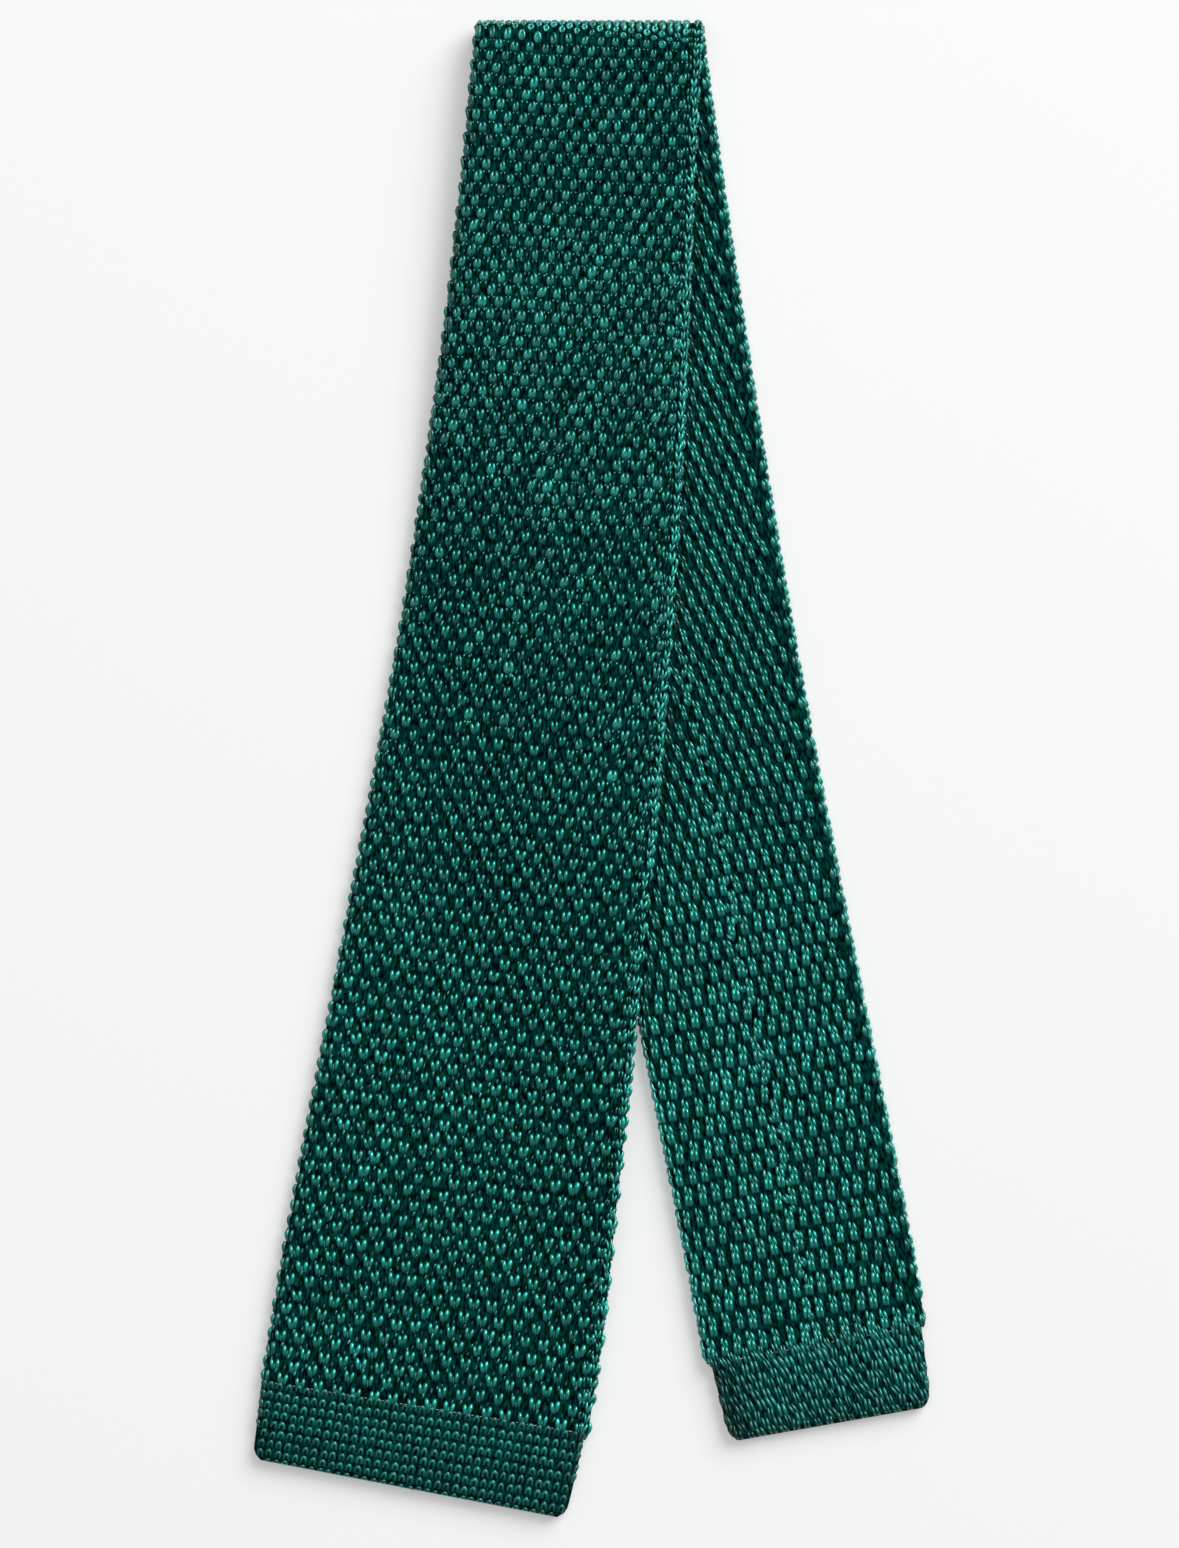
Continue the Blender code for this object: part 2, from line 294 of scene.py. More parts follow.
CHAIN_RIGHT = (
    {"up": 1.15, "across": 0.56, "depth": 0.75, "radius": 0.14},
    {"up": 0.80, "across": 0.50, "depth": 0.38, "radius": 0.25},
    {"up": 0.15, "across": 0.32, "depth": 0.28, "radius": 0.30},
    {"up": -0.45, "across": 0.10, "depth": 0.44, "radius": 0.24},
    {"up": -0.85, "across": 0.02, "depth": 0.80, "radius": 0.14},
)
SCALE_LOOP = (
    {"up": -1.20, "across": -0.40, "depth": 1.00, "radius": 0.28},
    {"up": -0.45, "across": -0.48, "depth": 0.66, "radius": 0.36},
    {"up": 0.25, "across": -0.40, "depth": 0.48, "radius": 0.38},
    {"up": 0.66, "across": -0.10, "depth": 0.40, "radius": 0.36},
    {"up": 0.66, "across": 0.14, "depth": 0.38, "radius": 0.36},
    {"up": 0.22, "across": 0.42, "depth": 0.42, "radius": 0.38},
    {"up": -0.45, "across": 0.48, "depth": 0.62, "radius": 0.36},
    {"up": -1.20, "across": 0.40, "depth": 1.00, "radius": 0.28},
)
SCALE_BODY = (
    {"up": 0.50, "across": 0.02, "depth": 0.98, "radius": 0.30},
    {"up": -0.10, "across": 0.02, "depth": 0.90, "radius": 0.46},
    {"up": -0.80, "across": 0.02, "depth": 0.98, "radius": 0.50},
    {"up": -1.40, "across": 0.02, "depth": 1.25, "radius": 0.34},
)
SLIM_LEFT = (
    {"up": 1.55, "across": -0.50, "depth": 0.80, "radius": 0.18},
    {"up": 1.25, "across": -0.46, "depth": 0.44, "radius": 0.32},
    {"up": 0.25, "across": -0.38, "depth": 0.40, "radius": 0.37},
    {"up": -0.70, "across": -0.30, "depth": 0.60, "radius": 0.34},
    {"up": -1.50, "across": -0.22, "depth": 1.00, "radius": 0.24},
)
SLIM_RIGHT = (
    {"up": 1.35, "across": 0.26, "depth": 0.80, "radius": 0.18},
    {"up": 1.05, "across": 0.30, "depth": 0.42, "radius": 0.31},
    {"up": 0.05, "across": 0.40, "depth": 0.38, "radius": 0.36},
    {"up": -0.90, "across": 0.50, "depth": 0.58, "radius": 0.33},
    {"up": -1.70, "across": 0.56, "depth": 1.00, "radius": 0.22},
)

# Painted shade: yarn is drawn darker with its depth below the knitting's face, in millimetres
PAINTED_DEPTH_SHADE = {"depths": (0.15, 0.55, 1.10), "levels": (1.0, 0.72, 0.18)}
ROUND_SIDES = 6
PLAIN_SIDES = 4
PLAIN_EAR = ((EAR_LEFT[1::2], PLAIN_SIDES), (EAR_RIGHT[1::2], PLAIN_SIDES))
SMALL_LOOP = ((LOBE_LEFT, PLAIN_SIDES), (LOBE_RIGHT, PLAIN_SIDES))
SLIM_LOOP = ((SLIM_LEFT, ROUND_SIDES), (SLIM_RIGHT, ROUND_SIDES))

GROUND_DEPTH = 0.00080  # the ground below the knitting's face, painted near-black as shade
BAND_GROUND_DEPTH = 0.00035
SEAM_HALF_WIDTH = 0.0004  # other stitches keep this far from the centre back
EDGE_PROUD = 0.00035  # how far the edge stitches stand out past the flat ones
BEND_PROUD = 0.00035  # how much less deep the ground is round the bend
EDGE_REACH = 0.75  # how much of a band's side turn its stitches cover
CHAIN_GIRTH = 0.0006  # the edge chain's middle, past the flat of the face
CHAIN_ROOM = 0.0011  # other stitches keep this far from the chain's middle
TUBE_MARGIN = 0.6 * MM  # from the tube's wide end to its first row
TOUCHING = 0.01 * MM


def ease(share):
    """A smooth step from 0 to 1."""
    share = np.clip(share, 0.0, 1.0)
    return share * share * (3.0 - 2.0 * share)


def along(column, t):
    """A column of the two blades' tables at t, negative on the wide blade."""
    rows = [(-row["distance"] * WIDE_LENGTH, row[column]) for row in reversed(WIDE_BLADE_ROWS)]
    rows += [(row["distance"] * NARROW_LENGTH, row[column]) for row in NARROW_BLADE_ROWS]
    places, values = zip(*rows)
    return np.interp(t, places, values)


def width_at(t):
    """The tube's width."""
    return NARROW_WIDTH + (WIDE_WIDTH - NARROW_WIDTH) * along("spread", t)


def middle_line():
    """Distances along the pattern's middle line and its points, with the folded edge at y = 0."""
    t = np.linspace(-WIDE_LENGTH, NARROW_LENGTH, 401)
    lean = np.radians(along("tilt", t))
    step = t[1] - t[0]
    x = np.concatenate([[0.0], np.cumsum((np.sin(lean[1:]) + np.sin(lean[:-1])) / 2 * step)])
    y = np.concatenate([[0.0], np.cumsum((np.cos(lean[1:]) + np.cos(lean[:-1])) / 2 * step)])
    return t, x - np.interp(0.0, t, x), y - np.interp(0.0, t, y)


LINE_T, LINE_X, LINE_Y = middle_line()


def pattern_point(t, across):
    """The flat pattern's point at t, across from the middle line."""
    lean = np.radians(along("tilt", t))
    x = np.interp(t, LINE_T, LINE_X) + across * np.cos(lean)
    y = np.interp(t, LINE_T, LINE_Y) - across * np.sin(lean)
    return x, y


def narrow_left_edge():
    """The left edge of the narrow blade as it lies, as y rising and x."""
    t = np.linspace(HALF_FOLD, NARROW_LENGTH - TAKE_UP, 400)
    x, y = pattern_point(t, -width_at(t) / 2)
    return (HALF_FOLD - y)[::-1], x[::-1]


EDGE_Y, EDGE_X = narrow_left_edge()


def fold_middle():
    """Where the middle of the folded edge lies in the frame, read from the tube's outermost points."""
    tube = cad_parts["knit_tube"]
    points = np.array([tube.matrix_world @ v.co for v in tube.data.vertices])
    edge = points[points[:, 1] > points[:, 1].max() - TOUCHING]
    return (edge[:, 0].min() + edge[:, 0].max()) / 2, edge[:, 1].max() - FOLD_RADIUS - HALF_DEPTH


FOLD_X, FOLD_Y = fold_middle()


def laid(t, across, out):
    """Points of the tie as it lies: along the pattern, across it and out from the tube's mid-surface."""
    x, pattern_y = pattern_point(t, across)
    turn = np.clip(pattern_y, -HALF_FOLD, HALF_FOLD) / FOLD_RADIUS
    past_fold = np.maximum(np.abs(pattern_y) - HALF_FOLD, 0.0)
    y = (FOLD_RADIUS + out) * np.cos(turn) - past_fold
    z = FOLD_HEIGHT - (FOLD_RADIUS + out) * np.sin(turn)
    past_edge = np.interp(y, EDGE_Y, EDGE_X) - x
    drop = LAYER_STEP * ease((past_edge - SLOPE_MARGIN) / SLOPE_LENGTH)
    z = z - np.where(pattern_y < 0.0, drop, 0.0)
    return np.stack([x + FOLD_X, y + FOLD_Y, z], axis=-1)


def round_section(girth, half_width, half_depth, depth):
    """Across and out of a point of a flattened tube: girth round it from the middle of one face."""
    flat = half_width - half_depth
    size = np.abs(girth)
    turn = np.clip((size - flat) / half_depth, 0.0, math.pi)
    far = np.maximum(size - flat - math.pi * half_depth, 0.0)
    depth = depth - EDGE_PROUD * np.sin(turn)
    across = np.minimum(size, flat) - far + (half_depth - depth) * np.sin(turn)
    return np.sign(girth) * across, (half_depth - depth) * np.cos(turn)


def on_tube(t, girth, depth, face):
    """A point of the tube's knitting. face is 1 from the middle of the front, -1 from that of the back."""
    across, out = round_section(girth, width_at(t) / 2, HALF_DEPTH, depth)
    return laid(t, across, face * out)


def band_half_width(band, rise):
    """A band's half width, rise above its foot, with its rounded corners."""
    foot = band["side"] * (band["length"] - TAKE_UP)
    top = width_at(foot - band["side"] * band["height"]) / 2 - band["step"]
    half = band["hem"] / 2 + (top - band["hem"] / 2) * rise / band["height"]
    bite = np.clip(1 - rise / BAND_CORNER, 0.0, 1.0)
    return half - BAND_CORNER * (1 - np.sqrt(1 - bite**2))


def on_band(band, run, girth, depth, face):
    """A point of a band's knitting, run from its rim down the face and round its foot."""
    turn = np.clip((run - band["height"] + BAND_HALF_DEPTH) / BAND_HALF_DEPTH, 0.0, math.pi / 2)
    reach = BAND_HALF_DEPTH - depth
    rise = np.where(turn > 0.0, BAND_HALF_DEPTH - reach * np.sin(turn), band["height"] - run)
    across, out = round_section(girth, band_half_width(band, rise), BAND_HALF_DEPTH, depth)
    foot = band["side"] * (band["length"] - TAKE_UP)
    return laid(foot - band["side"] * rise, across + band["shift"], face * out * np.cos(turn))


def select_only(piece):
    """Makes this the one selected and active object."""
    bpy.ops.object.select_all(action="DESELECT")
    piece.select_set(True)
    bpy.context.view_layer.objects.active = piece


def stroke_mesh(rows, sides):
    """One stroke of yarn as arrays: its points, its faces, and each corner's place on the yarn."""
    curve = bpy.data.curves.new("stroke", "CURVE")
    curve.dimensions = "3D"
    curve.bevel_depth = MM
    curve.bevel_resolution = (sides - 4) // 2
    curve.use_fill_caps = True
    line = curve.splines.new("POLY")
    line.points.add(len(rows) - 1)
    for point, row in zip(line.points, rows):
        point.co = (row["across"] * MM, row["up"] * MM, -row["depth"] * MM, 1.0)
        point.radius = row["radius"]
    piece = bpy.data.objects.new("stroke", curve)
    bpy.context.collection.objects.link(piece)
    select_only(piece)
    bpy.ops.object.convert(target="MESH")
    bpy.ops.object.mode_set(mode="EDIT")
    bpy.ops.mesh.select_all(action="SELECT")
    bpy.ops.mesh.normals_make_consistent(inside=False)
    bpy.ops.object.mode_set(mode="OBJECT")
    mesh = piece.data
    points = np.array([v.co for v in mesh.vertices])
    faces = [tuple(p.vertices) for p in mesh.polygons]
    bpy.data.objects.remove(piece)
    place = []
    for face in faces:
        wraps = len(face) == 4 and {i % sides for i in face} == {0, sides - 1}
        for i in face:
            turn = sides if wraps and i % sides == 0 else i % sides
            place.append((i // sides, turn / sides))
    return points, faces, place


def lit(rows, first, last):
    """The same stroke, painted lighter or darker along it from first to last: painted highlight at one end,
    painted shade at the other.
    """
    levels = np.linspace(first, last, len(rows))
    return tuple({**row, "light": level} for row, level in zip(rows, levels))


def stitch(*strokes):
    """Several strokes, each with its number of sides, joined into one stitch.

    Each point has the painted light of its row, lessened by painted shade with depth. The two end caps have
    points of their own, which come after those of the rows.
    """
    points, faces, place, levels = [], [], [], []
    for rows, sides in strokes:
        some, joined, where = stroke_mesh(rows, sides)
        start = sum(len(p) for p in points)
        points.append(some)
        faces += [tuple(i + start for i in face) for face in joined]
        place += where
        along_yarn = [row.get("light", 1.0) for row in rows]
        levels += list(np.repeat(along_yarn + [along_yarn[0], along_yarn[-1]], sides))
    points = np.concatenate(points)
    # Painted light of each row, times painted shade that deepens with depth
    light = np.array(levels) * np.interp(-points[:, 2] / MM, PAINTED_DEPTH_SHADE["depths"], PAINTED_DEPTH_SHADE["levels"])
    return {"points": points, "faces": faces, "place": np.array(place), "light": light}


def shifted(rows, across, up=0.0, girth=1.0):
    """The same stroke, moved across and up, its yarn made thicker or thinner."""
    return tuple(
        {**row, "across": row["across"] + across, "up": row["up"] + up, "radius": row["radius"] * girth}
        for row in rows
    )


def knit(name, shape, sites, skin, material):
    """A joined mesh of one stitch at every site.

    sites has the columns run, girth, size, slim, turn and shade. skin lays run, girth and depth on the
    tie, and tells which way the stitch's own up and right go in run and girth.
    """
    place, up, right = skin
    run, girth, size, slim, turn, shade = sites.T[:, :, None]
    across, rise, height = shape["points"].T[:, None, :]
    across = across * size * slim
    rise = rise * size
    turned_across = across * np.cos(turn) - rise * np.sin(turn)
    turned_rise = across * np.sin(turn) + rise * np.cos(turn)
    laid_points = place(run + up * turned_rise, girth + right * turned_across, -height * np.ones_like(size))
    count = len(sites)
    corners = np.concatenate([np.array(face) for face in shape["faces"]])
    totals = np.array([len(face) for face in shape["faces"]])
    step = shape["points"].shape[0]
    mesh = bpy.data.meshes.new(name)
    mesh.vertices.add(count * step)
    mesh.vertices.foreach_set("co", laid_points.reshape(-1).astype(np.float32))
    mesh.loops.add(count * len(corners))
    every_corner = (np.arange(count)[:, None] * step + corners[None, :]).reshape(-1)
    mesh.loops.foreach_set("vertex_index", every_corner.astype(np.int32))
    mesh.polygons.add(count * len(totals))
    starts = np.concatenate([[0], np.cumsum(np.tile(totals, count))[:-1]])
    mesh.polygons.foreach_set("loop_start", starts.astype(np.int32))
    mesh.update(calc_edges=True)
    yarn = mesh.uv_layers.new(name="yarn")
    offset = np.random.default_rng(len(sites)).uniform(0.0, 50.0, (count, 1, 2))
    yarn.data.foreach_set("uv", (shape["place"][None] + offset).reshape(-1).astype(np.float32))
    # The attribute below carries each stitch's random tone times painted light and shade: painted
    # highlights up its strokes, painted shade with depth and by its place on the tie
    tone_and_painted_light = mesh.attributes.new("tone_and_painted_light", "FLOAT", "POINT")
    tone_and_painted_light.data.foreach_set("value", (shade * shape["light"][None]).reshape(-1).astype(np.float32))
    mesh.validate()
    mesh.shade_smooth()
    mesh.materials.append(material)
    piece = bpy.data.objects.new(name, mesh)
    bpy.context.collection.objects.link(piece)
    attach(piece, "root")
    return piece


def over_fold(run):
    """Where on the pattern a run ends that goes over the outside of the bend."""
    outer = math.pi / 2 * (FOLD_RADIUS + HALF_DEPTH)
    size = np.abs(run)
    return np.sign(run) * (np.minimum(size, outer) * HALF_FOLD / outer + np.maximum(size - outer, 0.0))


def outer_skin():
    """The skin of the wide blade's front, over the outside of the bend."""
    return (lambda run, girth, depth: on_tube(over_fold(run), girth, depth, 1)), 1.0, 1.0


def tube_skin(face, up, right):
    """The skin of one face of the tube."""
    return (lambda run, girth, depth: on_tube(run, girth, depth, face)), up, right


def band_skin(band, face, right):
    """The skin of one face of a band."""
    return (lambda run, girth, depth: on_band(band, run, girth, depth, face)), -1.0, right


def gauge_at(gauge, column, run):
    """A column of a gauge table at this run."""
    return np.interp(run / MM, [row["run"] for row in gauge], [row[column] for row in gauge]) * MM


def level_at(zone, run):
    """What the wide blade's stitches are at this run."""
    return np.interp(run / MM, zone["runs"], zone["levels"])


def rows_along(gauge, start, end, pitch=1.0):
    """The rows' places from start to end, spaced as the gauge says."""
    places = [start]
    while places[-1] < end:
        places.append(places[-1] + pitch * gauge_at(gauge, "row", places[-1]))
    return np.array(places[:-1])


def site_rows(rng, run, girth, size, wobble, shade):
    """Sites at these places, each a little astray in place, size, turn and shade."""
    count = len(girth)
    return np.stack([
        run + rng.normal(0.0, wobble * PLACE_SPREAD * MM, count),
        girth + rng.normal(0.0, wobble * PLACE_SPREAD * MM, count),
        size * rng.normal(1.0, wobble * SIZE_SPREAD, count),
        rng.normal(1.0, wobble * SLIM_SPREAD, count),
        rng.normal(0.0, wobble * TURN_SPREAD, count),
        shade * rng.normal(1.0, SHADE_SPREAD, count),
    ], axis=1)


def even_light(run, girth, flat):
    """No part of the face darker than another."""
    return np.ones(len(girth))


def wide_painted_light(run, girth, flat):
    """The wide blade's stitches, painted light by run: lightest at its foot, with painted shade round the
    left edge.
    """
    round_edge = ease((-girth - flat + 1.2 * MM) / (2.4 * MM))
    return level_at(WIDE_PAINTED_LIGHT, run) * (1.0 - 0.45 * round_edge)


def tube_sites(gauge, start, end, own_column, keep, light, seed):
    """Staggered stitch sites on a face of the tube, where keep(girth, flat) is true."""
    rng = np.random.default_rng(seed)
    sites = []
    for number, run in enumerate(rows_along(gauge, start, end)):
        column = gauge_at(gauge, "column", run)
        row = gauge_at(gauge, "row", run)
        girth = (TUBE_COLUMNS + 0.5 * (number % 2) + 0.25) * column
        flat = width_at(run) / 2 - HALF_DEPTH
        girth = girth[keep(girth, flat)]
        crowding = min(1.0, row / CROWDED_ROW)
        wave = 0.25 * MM * crowding * np.sin(girth / (9.0 * MM) + run / (14.0 * MM))
        size = column / own_column * crowding ** 0.33
        size = size * (1.0 + 0.16 * ease((np.abs(girth) - flat + 0.5 * MM) / MM))
        shade = light(run, girth, flat)
        sites.append(site_rows(rng, run + wave, girth, size, 0.4 + 0.6 * crowding, shade))
    return np.concatenate(sites)


def edge_sites(gauge, start, end, pitch, out, wobble, seed):
    """Sites of one line of stitches down the right edge."""
    rng = np.random.default_rng(seed)
    run = rows_along(gauge, start, end, pitch)
    girth = width_at(run) / 2 - HALF_DEPTH + out
    return site_rows(rng, run, girth, 1.0, wobble, 1.0)


def band_sites(band, shading, seed):
    """Stitch sites of one face of a band, round its foot and out over most of its side edges' turn."""
    rng = np.random.default_rng(seed)
    sites = []
    for number, run in enumerate(np.arange(0.4 * MM, band["height"] + 0.2 * MM, band["row"])):
        flat = band_half_width(band, np.array(band["height"] - run)) - BAND_HALF_DEPTH
        edge = flat + EDGE_REACH * math.pi / 2 * BAND_HALF_DEPTH
        girth = (BAND_COLUMNS + (band["stagger"] if number % 2 else 0.0)) * band["column"]
        girth = girth[np.abs(girth) < edge]
        shade = shading(run / band["height"], girth / flat)
        rows = site_rows(rng, run, girth, 1.0, band["wobble"], shade)
        rows[:, TURN] += band["lean"]
        sites.append(rows)
    return np.concatenate(sites)


def seam_sites(start, end, pitch, size, seed):
    """Crowded stitches, turned a little every way, along the wandering centre back."""
    rng = np.random.default_rng(seed)
    run = np.arange(start, end, pitch)
    count = len(run)
    wander = 0.35 * MM * np.sin(run / (11.0 * MM)) + 0.2 * MM * np.sin(run / (4.3 * MM))
    side = np.where(np.arange(count) % 2 == 0, -0.45 * MM, 0.45 * MM)
    return np.stack([
        run + rng.normal(0.0, 0.25 * MM, count),
        wander + side + rng.normal(0.0, 0.20 * MM, count),
        size * rng.uniform(0.85, 1.15, count),
        rng.uniform(0.85, 1.10, count),
        rng.normal(0.10, 0.25, count),
        rng.normal(0.90, 0.14, count),
    ], axis=1)


def fleck_sites(sites, seed):
    """Sites of the small loose loops beside the stitches: some missing, each astray and its own shade."""
    rng = np.random.default_rng(seed)
    flecks = sites[rng.uniform(0.0, 1.0, len(sites)) < 0.85]
    count = len(flecks)
    flecks[:, RUN] += rng.normal(0.0, 0.24 * MM, count)
    flecks[:, GIRTH] += rng.normal(0.0, 0.20 * MM, count)
    flecks[:, SIZE] *= rng.uniform(0.75, 1.25, count)
    flecks[:, SHADE] *= rng.uniform(0.35, 1.55, count)
    return flecks


def yarn_material(name, colour, roughness, metallic, gloss):
    """Lustrous filament silk: each stitch lighter or darker by its random tone and by painted light and
    shade, fine filaments along the yarn.
    """
    material = bpy.data.materials.new(name)
    material.use_nodes = True
    nodes = material.node_tree.nodes
    links = material.node_tree.links
    shader = nodes["Principled BSDF"]
    shader.inputs["Roughness"].default_value = roughness
    shader.inputs["Metallic"].default_value = metallic
    shader.inputs["Coat Weight"].default_value = gloss
    shader.inputs["Coat Roughness"].default_value = 0.26
    # The tone attribute, random tone times painted light and shade, scales the base colour
    tone_and_painted_light = nodes.new("ShaderNodeAttribute")
    tone_and_painted_light.attribute_name = "tone_and_painted_light"
    shade = nodes.new("ShaderNodeHueSaturation")
    shade.inputs["Color"].default_value = (*colour, 1.0)
    links.new(tone_and_painted_light.outputs["Fac"], shade.inputs["Value"])
    links.new(shade.outputs["Color"], shader.inputs["Base Color"])
    yarn = nodes.new("ShaderNodeUVMap")
    yarn.uv_map = "yarn"
    stretch = nodes.new("ShaderNodeMapping")
    stretch.inputs["Scale"].default_value = (0.6, 16.0, 1.0)
    filaments = nodes.new("ShaderNodeTexNoise")
    filaments.inputs["Scale"].default_value = 1.0
    filaments.inputs["Detail"].default_value = 2.0
    relief = nodes.new("ShaderNodeBump")
    relief.inputs["Strength"].default_value = 0.35
    relief.inputs["Distance"].default_value = 0.05 * MM
    links.new(yarn.outputs["UV"], stretch.inputs["Vector"])
    links.new(stretch.outputs["Vector"], filaments.inputs["Vector"])
    links.new(filaments.outputs["Fac"], relief.inputs["Height"])
    links.new(relief.outputs["Normal"], shader.inputs["Normal"])
    return material


def painted_shade_ground_material():
    """The inner loops seen between the stitches, painted near-black as the shade that lies between them."""
    material = bpy.data.materials.new("ground_knit_painted_shade")
    material.use_nodes = True
    nodes = material.node_tree.nodes
    links = material.node_tree.links
    shader = nodes["Principled BSDF"]
    shader.inputs["Roughness"].default_value = 0.9
    shader.inputs["Specular IOR Level"].default_value = 0.0
    place = nodes.new("ShaderNodeUVMap")
    place.uv_map = "cloth"
    stretch = nodes.new("ShaderNodeMapping")
    stretch.inputs["Scale"].default_value = (1900.0, 620.0, 1.0)
    loops = nodes.new("ShaderNodeTexNoise")
    loops.inputs["Scale"].default_value = 1.0
    loops.inputs["Detail"].default_value = 2.0
    # Painted shade: the inner loops are drawn near-black to dark teal, much darker than the silk, for the
    # shade between the stitches
    ramp = nodes.new("ShaderNodeValToRGB")
    ramp.color_ramp.elements[0].position = 0.42
    ramp.color_ramp.elements[0].color = (0.0002, 0.0040, 0.0040, 1.0)
    ramp.color_ramp.elements[1].position = 0.66
    ramp.color_ramp.elements[1].color = (0.001, 0.055, 0.046, 1.0)
    relief = nodes.new("ShaderNodeBump")
    relief.inputs["Strength"].default_value = 0.6
    relief.inputs["Distance"].default_value = 0.2 * MM
    links.new(place.outputs["UV"], stretch.inputs["Vector"])
    links.new(stretch.outputs["Vector"], loops.inputs["Vector"])
    links.new(loops.outputs["Fac"], ramp.inputs["Fac"])
    links.new(ramp.outputs["Color"], shader.inputs["Base Color"])
    links.new(loops.outputs["Fac"], relief.inputs["Height"])
    links.new(relief.outputs["Normal"], shader.inputs["Normal"])
    return material


def ground_piece(name, columns, rows, place, thickness, material, node):
    """The ground of a CAD piece: a grid laid over its surface, closed where it meets, and given its wall.

    place turns the grid's shares, -1 to 1 across and 0 to 1 along, into points and the cloth's own sizes.
    """
    bpy.ops.object.select_all(action="DESELECT")
    bpy.ops.mesh.primitive_grid_add(x_subdivisions=columns, y_subdivisions=rows, size=2.0)
    piece = bpy.context.active_object
    piece.name = name
    mesh = piece.data
    mesh.name = name
    shares = np.array([v.co for v in mesh.vertices])
    points, cloth = place(shares[:, 0], (shares[:, 1] + 1) / 2)
    mesh.vertices.foreach_set("co", points.reshape(-1).astype(np.float32))
    corners = np.array([loop.vertex_index for loop in mesh.loops])
    mesh.uv_layers.active.name = "cloth"
    mesh.uv_layers.active.data.foreach_set("uv", cloth[corners].reshape(-1).astype(np.float32))
    bpy.ops.object.mode_set(mode="EDIT")
    bpy.ops.mesh.select_all(action="SELECT")
    bpy.ops.mesh.remove_doubles(threshold=TOUCHING)
    bpy.ops.mesh.normals_make_consistent(inside=False)
    bpy.ops.object.mode_set(mode="OBJECT")
    wall = piece.modifiers.new("wall", "SOLIDIFY")
    wall.thickness = thickness
    wall.offset = -1.0
    bpy.ops.object.modifier_apply(modifier=wall.name)
    mesh.shade_smooth()
    mesh.materials.append(material)
    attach(piece, "root")
    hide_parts(node)
    return piece


def tube_ground(material):
    """The ground of the whole tube, open along the centre back and at both ends."""
    def place(across, lengthwise):
        t = WIDE_TUBE_END + (NARROW_TUBE_END - WIDE_TUBE_END) * lengthwise
        full = width_at(t) - 2 * HALF_DEPTH + math.pi * HALF_DEPTH - SEAM_OPENING / 2
        girth = across * full
        at_bend = 1.0 - ease((np.abs(t) - HALF_FOLD) / (4.0 * MM))
        depth = GROUND_DEPTH - BEND_PROUD * at_bend
        return on_tube(t, girth, depth, 1), np.stack([girth, t], axis=1)

    return ground_piece(
        "tube_ground", columns=84, rows=210, place=place, thickness=WALL - GROUND_DEPTH,
        material=material, node="knit_tube",
    )


def band_ground(name, band, material, node):
    """The ground of an end band: a pocket with a rounded foot, open towards the tube."""
    def place(across, lengthwise):
        foot_run = band["height"] + (math.pi / 2 - 1) * BAND_HALF_DEPTH
        run = foot_run * lengthwise
        rise = np.clip(band["height"] - run, 0.0, None)
        full = 2 * (band_half_width(band, rise) - BAND_HALF_DEPTH) + math.pi * BAND_HALF_DEPTH
        girth = across * full
        return on_band(band, run, girth, BAND_GROUND_DEPTH, 1), np.stack([girth, run], axis=1)

    return ground_piece(
        name, columns=80, rows=16, place=place, thickness=BAND_WALL - BAND_GROUND_DEPTH,
        material=material, node=node,
    )


def whole_face(girth, flat):
    """The face and both its side edges."""
    return np.abs(girth) < flat + math.pi * HALF_DEPTH


def clear_of_chain(girth, flat):
    """The face and both its side edges, but for the chain's place on the right."""
    return whole_face(girth, flat) & (np.abs(girth - flat - CHAIN_GIRTH) > CHAIN_ROOM)


def clear_of_seam(girth, flat):
    """The flat of a back, but for the seam's place."""
    return (np.abs(girth) < flat) & (np.abs(girth) > SEAM_HALF_WIDTH)


def clear_of_both(girth, flat):
    """A back and its side edges, but for the seam's and the chain's places."""
    return clear_of_chain(girth, flat) & (np.abs(girth) > SEAM_HALF_WIDTH)


def flat_only(girth, flat):
    """The flat of a face."""
    return np.abs(girth) < flat


